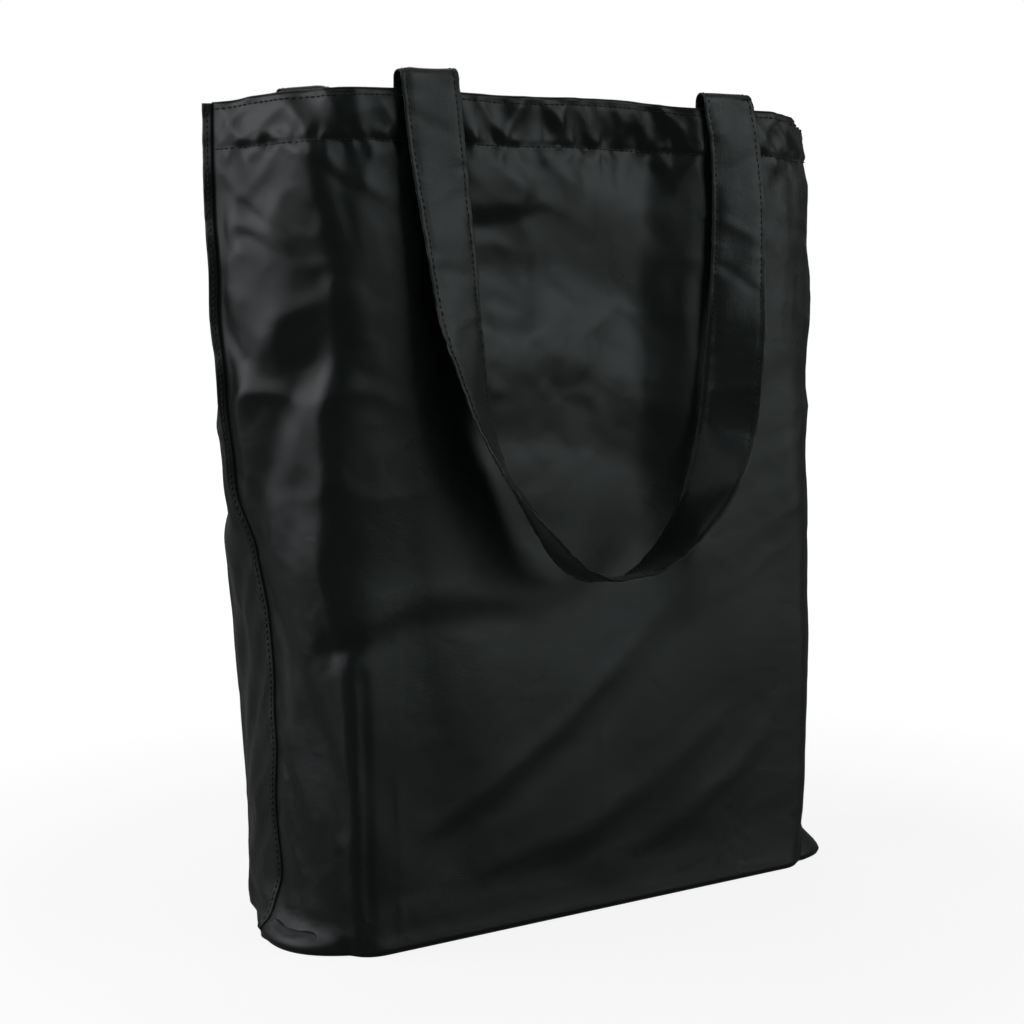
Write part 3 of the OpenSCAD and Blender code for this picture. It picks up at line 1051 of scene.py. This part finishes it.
def base_corner_seam(name, cols_front, node, seed):
    """Upright seam allowance inside a boxed base corner."""
    height = np.linspace(0.8, 9.5, 8)
    row_index = np.interp(height, ROW_Z, np.arange(len(ROW_Z)))
    parts = []
    for grid, normal, cols in (
        (front_grid, front_normal, cols_front[::-1]),
        (back_grid, back_normal, cols_front),
    ):
        rr, cc = np.meshgrid(row_index, cols, indexing="ij")
        parts.append(sample(grid, rr, cc) - sample(normal, rr, cc) * [1.2, 1.2, 0.0])
    grid = np.concatenate([parts[0], parts[1][:, 1:]], axis=1)
    run = np.arange(grid.shape[1]) * 2.5
    grid[:, :, 2] += 0.5 * ripple(run, run * 0, 16.0, seed)[None] * smooth(2, 9, height)[:, None]
    normal = normals_of(grid)
    uv = grid_uv(height, run)
    wear = np.tile(np.exp(-(((height - 9.5) / 1.2) ** 2))[:, None] * 0.7, (1, grid.shape[1]))
    piece = thick_grid(name, grid, normal, 0.7, uv, wear)
    merge_doubles(piece)
    finish_cloth(piece)
    close_mouth(piece)
    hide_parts(node)


# ---- thread on the cloth

def thread_row(name, grid, normal, depth, nodes, seed):
    """A line of lockstitch round one half of the bag, at a depth below the rim."""
    row = float(np.interp(BAG_H - depth, ROW_Z, np.arange(len(ROW_Z))))
    rng = np.random.default_rng(seed)
    u = np.arange(3.0, CLOTH_W - 3.0, STITCH)
    u = u + rng.uniform(-0.15, 0.15, len(u))
    wander = 0.35 * ripple(u, u * 0, 60.0, seed) * 0.3
    col = u / CLOTH_W * COLS
    place = sample(grid, row + wander, col)
    ahead = sample(grid, row + wander, col + 0.4)
    behind = sample(grid, row + wander, col - 0.4)
    out = sample(normal, row + wander, col)
    piece = stitches(name, place, ahead - behind, out, length=STITCH * 0.78)
    finish_thread(piece)
    close_mouth(piece)
    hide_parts(*nodes)


def flange_thread(name, col, side, node, seed):
    """Lockstitch along a side seam's flange, seen on both of its faces."""
    z = np.arange(5.0, BAG_H - 3.0, STITCH)
    row = np.interp(z, ROW_Z, np.arange(len(ROW_Z)))
    line, way, out = [
        np.stack([np.interp(row, np.arange(len(ROW_Z)), part[:, k]) for k in range(3)], axis=1)
        for part in flange_frame(col, side, seed)
    ]
    middle = line + way * 2.3
    up = np.tile([0.0, 0.0, 1.0], (2 * len(z), 1))
    places = np.concatenate([middle + out * 0.38, middle - out * 0.38])
    piece = stitches(name, places, up, np.concatenate([out, -out]), length=STITCH * 0.76)
    finish_thread(piece)
    close_mouth(piece)
    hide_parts(node)


# ---- handles

# The hanging loop, from the left fold to the right fold: inner edge x and z, turn of the width
# out of the plane of the front in degrees, inner edge y, and tip of the outer edge upwards
LOOP = [
    (LEFT_STRAP_X + 15.0, 407, 0, -64.4, -1.9),
    (-79.5, 385, 1, -64.4, -0.5),
    (-77, 362, 5, -64.4, 0),
    (-74, 336, 11, -64.4, 0),
    (-71, 305, 18, -64.4, 0),
    (-68.5, 280, 31, -64.4, 0),
    (-66, 258, 44, -64.4, 0),
    (-61, 236, 57, -64.4, 1),
    (-52, 216, 67, -64.4, 2),
    (-41, 197, 77, -64.8, 3),
    (-27, 178, 85, -65.0, 4),
    (-9, 169.5, 90, -65.2, 4.5),
    (8, 169.5, 92, -65.2, 4.5),
    (24, 178, 88, -65.0, 4),
    (39, 195, 80, -64.8, 3),
    (49, 216, 63, -64.4, 2),
    (54, 233, 47, -64.4, 1),
    (56.5, 244, 34, -64.4, 0),
    (58, 254, 35, -64.4, 0),
    (60, 275, 36, -64.4, 0),
    (61.5, 292, 30, -64.4, 0),
    (62.5, 306, 20, -64.4, 0),
    (63.5, 322, 15, -64.4, 0),
    (64, 350, 10, -64.4, 0),
    (62.5, 378, 3, -64.4, 0),
    (RIGHT_STRAP_X - 15.0, 402, 0, -64.4, 0),
]
END_LOW_Z = BAG_H - HEM_H + 1.0
SECTION_STEP = 2.2
STRAP_T = 1.15
# From each edge of the strap to its row of stitches
STRAP_STITCH_INSET = 2.6
# Near its sewn ends the strap is flat: level up to the first distance, full relief after the second
STRAP_FLAT = (14, 44)


def handle_sections():
    """Middle line of the hanging loop, from its left fold to its right one, and the direction of
    its width."""
    keys = np.array(LOOP, float)
    run = np.concatenate([[0], np.cumsum(np.linalg.norm(np.diff(keys[:, :2], axis=0), axis=1))])
    count = int(run[-1] / SECTION_STEP)
    values = curve_through(np.column_stack([run, keys]), np.linspace(0, run[-1], count))
    x, z, turn, y, tip = values.T
    inner = np.stack([x, y, z], axis=1)
    travel = np.gradient(np.stack([x, z], axis=1), axis=0)
    travel[:, 0] *= smooth(FOLD_Z - 4, FOLD_Z - 28, z)
    travel /= np.linalg.norm(travel, axis=1, keepdims=True)
    outward = np.stack([travel[:, 1], 0 * x, -travel[:, 0]], axis=1)
    outward = outward / np.linalg.norm(outward, axis=1, keepdims=True)
    a = np.radians(turn)[:, None]
    width = outward * np.cos(a) + np.array([0, -1.0, 0]) * np.sin(a)
    width[:, 2] += tip / STRAP_W
    width /= np.linalg.norm(width, axis=1, keepdims=True)
    centre = inner + width * STRAP_W / 2
    # Width runs to the inner edge, so that it points the same way at both sewn ends
    return centre, -width


def full_strap():
    """The loop with its bends over the rim and its ends inside the hem."""
    centre, width = handle_sections()
    middle_y = -(OUTER_LEG_Y + STRAP_INNER_Y) / 2
    start, start_w, end, end_w = [], [], [], []
    for (x, _, top), way, places, widths in (
        (centre[0], width[0], start, start_w),
        (centre[-1], width[-1], end, end_w),
    ):
        for z in np.linspace(END_LOW_Z, top, 12)[:-1]:
            places.append([x, -STRAP_INNER_Y, z])
            widths.append(way)
        for a in np.linspace(0, math.pi, 13)[:-1]:
            places.append([x, middle_y + BEND_R * math.cos(a), top + BEND_R * math.sin(a)])
            widths.append(way)
    centre = np.concatenate([start, centre, np.array(end)[::-1]])
    width = np.concatenate([start_w, width, np.array(end_w)[::-1]])
    return centre, width


def strap_frames():
    """Middle line of the whole strap, with its directions along, across and outwards, and the length
    up to each place."""
    centre, width = full_strap()
    travel = np.gradient(centre, axis=0)
    travel /= np.linalg.norm(travel, axis=1, keepdims=True)
    width = width - travel * np.sum(width * travel, axis=1, keepdims=True)
    width /= np.linalg.norm(width, axis=1, keepdims=True)
    face = np.cross(travel, width)
    run = np.concatenate([[0], np.cumsum(np.linalg.norm(np.diff(centre, axis=0), axis=1))])
    return centre, travel, width, face, run


# Creases across a strap: how far along it, slant, and height
STRAP_CREASES = [
    (62, 0.5, -0.5), (92, -0.4, 0.55), (128, 0.25, -0.7), (151, -0.3, 0.6),
    (214, 0.5, 0.6), (268, -0.5, -0.5), (352, 0.6, 0.5), (408, 0.3, -0.7),
    (436, -0.25, 0.8), (492, 0.6, -0.9), (516, 0.45, 0.8), (548, -0.4, -0.5),
]


def strap_relief(run, w, seed):
    """Buckling of the strap's face: puckers along its stitching and a few creases across."""
    edge = STRAP_W / 2 - STRAP_STITCH_INSET
    rows = np.exp(-(((np.abs(w) - edge) / 1.3) ** 2))
    pucker = ripple(run, w, 8.5, seed, (1.0, 3.0)) * smooth(3, 13, np.abs(w))
    body = ripple(run, w, 34.0, seed + 2, (1.0, 1.6))
    buckle = 1.5 * facets(run, w, 88.0, seed + 3, (1.0, 0.7), 0.06)
    across = 0
    for at, slant, height in STRAP_CREASES:
        across = across + height * np.exp(-(((run - at - slant * w) / 2.6) ** 2))
    return np.clip(
        -0.32 * rows
        + 0.22 * pucker
        + (0.34 * body + 0.5 * buckle) * smooth(15, 7, np.abs(w))
        + 0.3 * smooth(14, 9, np.abs(w))
        + across * smooth(15, 6, np.abs(w)),
        -1.1,
        1.6,
    )


def strap_freedom(run, total):
    """Share of the relief that the strap has at a length along it."""
    return smooth(*STRAP_FLAT, run) * smooth(*STRAP_FLAT, total - run)


def strap_mesh(name, flip, frames, seed):
    """The strap itself: a flat closed band with round edges. Flip mirrors it to the back."""
    centre, _, width, face, run = frames
    # Places across the strap, closer together at its edges and stitches
    half = np.array([3, 6, 9, 11.2, 12.2, 12.9, 13.9, 14.7, 15.0])
    across = np.concatenate([-half[::-1], [0.0], half]) * STRAP_W / 30
    edge_share = np.clip((STRAP_W / 2 - np.abs(across)) / 0.9, 0, 1)
    half_t = STRAP_T / 2 * np.sqrt(1 - (1 - edge_share) ** 2)
    rr, ww = np.meshgrid(run, across, indexing="ij")
    relief = strap_relief(rr, ww, seed) * strap_freedom(rr, run[-1])
    middle = centre[:, None] + width[:, None] * ww[:, :, None]
    top = middle + face[:, None] * (half_t[None] + relief)[:, :, None]
    low = middle + face[:, None] * (relief * 0.8 - half_t[None])[:, :, None]
    ring = np.concatenate([top, low[:, ::-1]], axis=1)
    rows, cols = ring.shape[:2]
    faces = []
    for r in range(rows - 1):
        for c in range(cols):
            d = (c + 1) % cols
            faces.append((r * cols + c, r * cols + d, (r + 1) * cols + d, (r + 1) * cols + c))
    faces.append(tuple(range(cols))[::-1])
    faces.append(tuple((rows - 1) * cols + c for c in range(cols)))
    # The far face has its own place in the texture
    uv = np.stack([np.concatenate([ww, ww[:, ::-1] + 40], axis=1), np.concatenate([rr, rr], axis=1)],
                  axis=2)
    worn = np.exp(-(((np.abs(ww) - 15) / 0.7) ** 2))
    worn = worn * (0.5 + 0.5 * smooth(-0.5, 0.8, ripple(rr, ww, 26.0, seed + 7)))
    wear = np.concatenate([worn, worn[:, ::-1]], axis=1) * 0.8
    verts = ring.reshape(-1, 3) * flip * MM
    piece = add_object(name, verts, faces, uv.reshape(-1, 2) * MM, wear.ravel())
    merge_doubles(piece)
    piece.data.materials.append(STRAP)
    return piece


def strap_thread(name, flip, frames, seed):
    """A row of stitches along each edge of a strap, seen on both of its faces."""
    centre, travel, width, face, run = frames
    total = run[-1]
    edge = STRAP_W / 2 - STRAP_STITCH_INSET
    places, tangents, outs = [], [], []
    for w in (-edge, edge):
        for s in np.arange(28.0, total - 28.0, STITCH):
            c, along, over, out = [
                np.array([np.interp(s, run, part[:, k]) for k in range(3)])
                for part in (centre, travel, width, face)
            ]
            relief = float(strap_relief(np.array([s]), np.array([w]), seed)[0])
            lift = relief * float(strap_freedom(s, total))
            for side in (1, -1):
                rise = lift if side > 0 else lift * 0.8
                places.append((c + over * w + out * (side * STRAP_T / 2 + rise)) * flip)
                tangents.append(along * flip)
                outs.append(out * side * flip)
    thread = stitches(name, np.array(places), np.array(tangents), np.array(outs),
                      length=STITCH * 0.78, width=0.5, rise=0.2)
    finish_thread(thread)
    return thread


def build_handle(name, stitch_name, mirror, nodes, stitch_nodes, seed):
    """One strap and its stitching. Its ends stay in the hem, its bends follow it over the rim."""
    sign = 1 if mirror else -1
    flip = np.array([1.0, -sign, 1.0])
    frames = strap_frames()
    piece = strap_mesh(name, flip, frames, seed)
    thread = strap_thread(stitch_name, flip, frames, seed)
    for part, part_nodes in ((piece, nodes), (thread, stitch_nodes)):
        # All of the hanging part lies further out than the end of the blend
        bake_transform(part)
        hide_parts(*part_nodes)


# ---- stage, light and camera

def floor():
    """White ground that looks evenly lit to the camera and throws a soft light up on the bag."""
    size = 60.0
    verts = [(-size, -size, 0), (size, -size, 0), (size, size, 0), (-size, size, 0)]
    piece = add_object("floor", verts, [(0, 1, 2, 3)], smooth_shade=False)
    material, tree = new_material("white_floor")
    out = tree.nodes.new("ShaderNodeOutputMaterial")
    diffuse = tree.nodes.new("ShaderNodeBsdfDiffuse")
    diffuse.inputs[0].default_value = (0.19, 0.19, 0.19, 1)
    glow = tree.nodes.new("ShaderNodeEmission")
    path = tree.nodes.new("ShaderNodeLightPath")
    place = tree.nodes.new("ShaderNodeTexCoord")
    far = tree.nodes.new("ShaderNodeVectorMath")
    far.operation = "LENGTH"
    link(tree, place, "Object", far, 0)
    reach = tree.nodes.new("ShaderNodeMapRange")
    reach.inputs["From Min"].default_value = 0.25
    reach.inputs["From Max"].default_value = 0.7
    reach.inputs["To Min"].default_value = 0.86
    reach.inputs["To Max"].default_value = 1.0
    link(tree, far, "Value", reach, "Value")
    strength = math_node(tree, "MULTIPLY", path.outputs["Is Camera Ray"], reach.outputs["Result"])
    tree.links.new(strength, glow.inputs[1])
    both = tree.nodes.new("ShaderNodeAddShader")
    link(tree, diffuse, 0, both, 0)
    link(tree, glow, 0, both, 1)
    link(tree, both, 0, out, 0)
    piece.data.materials.append(material)


def area_light(name, place, target, size, power, tone=(1, 1, 1)):
    """Rectangular light at place that faces target. Power is in watts."""
    data = bpy.data.lights.new(name, "AREA")
    data.shape = "RECTANGLE"
    data.size, data.size_y = size
    data.energy = power
    data.color = tone
    lamp = bpy.data.objects.new(name, data)
    lamp.location = place
    way = np.array(target, float) - np.array(place, float)
    yaw = math.atan2(-way[0], way[1])
    pitch = math.atan2(way[2], math.hypot(way[0], way[1]))
    lamp.rotation_euler = Euler((math.pi / 2 + pitch, 0, yaw), "XYZ")
    bpy.context.scene.collection.objects.link(lamp)


def studio():
    """White surroundings, with large soft lights at both sides, above and behind."""
    world = bpy.data.worlds.new("studio")
    bpy.context.scene.world = world
    world.use_nodes = True
    tree = world.node_tree
    tree.nodes.clear()
    out = tree.nodes.new("ShaderNodeOutputWorld")
    seen = tree.nodes.new("ShaderNodeBackground")
    seen.inputs[0].default_value = (1, 1, 1, 1)
    seen.inputs[1].default_value = 1.0
    soft = tree.nodes.new("ShaderNodeBackground")
    soft.inputs[0].default_value = (0.95, 1.0, 1.0, 1)
    soft.inputs[1].default_value = 0.11
    path = tree.nodes.new("ShaderNodeLightPath")
    pick = tree.nodes.new("ShaderNodeMixShader")
    link(tree, path, "Is Camera Ray", pick, 0)
    link(tree, soft, 0, pick, 1)
    link(tree, seen, 0, pick, 2)
    link(tree, pick, 0, out, 0)
    middle = (0, 0, 0.22)
    area_light("left_soft", (-1.70, 0.50, 1.02), middle, (2.3, 1.8), 20.5, (1.0, 0.94, 0.98))
    area_light("right_key", (1.52, -1.62, 1.20), middle, (1.9, 1.6), 11.5)
    area_light("right_low", (1.35, -1.60, 0.24), middle, (1.7, 0.44), 1.9)
    area_light("top_soft", (0.2, 0.1, 2.2), middle, (1.6, 1.6), 3)
    area_light("back_soft", (0.7, 2.1, 1.0), middle, (2.0, 1.6), 10)


# Viewpoint in metres, lens in millimetres, tilt up from straight down and heading in degrees
CAMERA_PLACE = (-0.540, -0.834, 0.327)
CAMERA_LENS = 68.2
CAMERA_TILT = 82.43
CAMERA_HEADING = -32.3


def camera():
    """Camera at the bag's front left, a little below its rim."""
    data = bpy.data.cameras.new("camera")
    data.lens = CAMERA_LENS
    data.sensor_width = 36.0
    data.clip_start = 0.01
    cam = bpy.data.objects.new("camera", data)
    cam.location = CAMERA_PLACE
    cam.rotation_euler = Euler((math.radians(CAMERA_TILT), 0, math.radians(CAMERA_HEADING)), "XYZ")
    bpy.context.scene.collection.objects.link(cam)
    bpy.context.scene.camera = cam
    bpy.context.scene.view_settings.view_transform = "Standard"


# ---- assembly

camera()
floor()
studio()
cloth_panels()
base_cloth()
hem_band("front_hem_band", front_grid, front_normal, ("front_hem", "left_hem"), 201, False)
hem_band("back_hem_band", back_grid, back_normal, ("back_hem", "right_hem"), 202, True)
side_flange("left_seam_flange", 0, -1, "left_side_seam", 301)
side_flange("right_seam_flange", COLS, 1, "right_side_seam", 302)
base_corner_seam("left_corner_seam", np.arange(0, 31), "left_base_seam", 401)
base_corner_seam("right_corner_seam", np.arange(COLS - 30, COLS + 1), "right_base_seam", 402)
thread_row("front_hem_lockstitch", front_grid, front_normal, HEM_ROW_DEPTH,
           ("front_hem_stitching", "left_hem_stitching"), 501)
thread_row("front_rim_lockstitch", front_grid, front_normal, RIM_ROW_DEPTH, ("front_hem_stitching",), 502)
thread_row("back_hem_lockstitch", back_grid, back_normal, HEM_ROW_DEPTH,
           ("back_hem_stitching", "right_hem_stitching"), 503)
thread_row("back_rim_lockstitch", back_grid, back_normal, RIM_ROW_DEPTH, ("back_hem_stitching",), 504)
flange_thread("left_seam_lockstitch", 0, -1, "left_side_stitching", 301)
flange_thread("right_seam_lockstitch", COLS, 1, "right_side_stitching", 302)
build_handle("front_strap", "front_strap_lockstitch", False,
             ("front_handle", "front_handle_left_end", "front_handle_right_end",
              "front_handle_left_bend", "front_handle_right_bend"), ("front_handle_stitching",), 601)
build_handle("back_strap", "back_strap_lockstitch", True,
             ("back_handle", "back_handle_left_end", "back_handle_right_end",
              "back_handle_left_bend", "back_handle_right_bend"), ("back_handle_stitching",), 602)
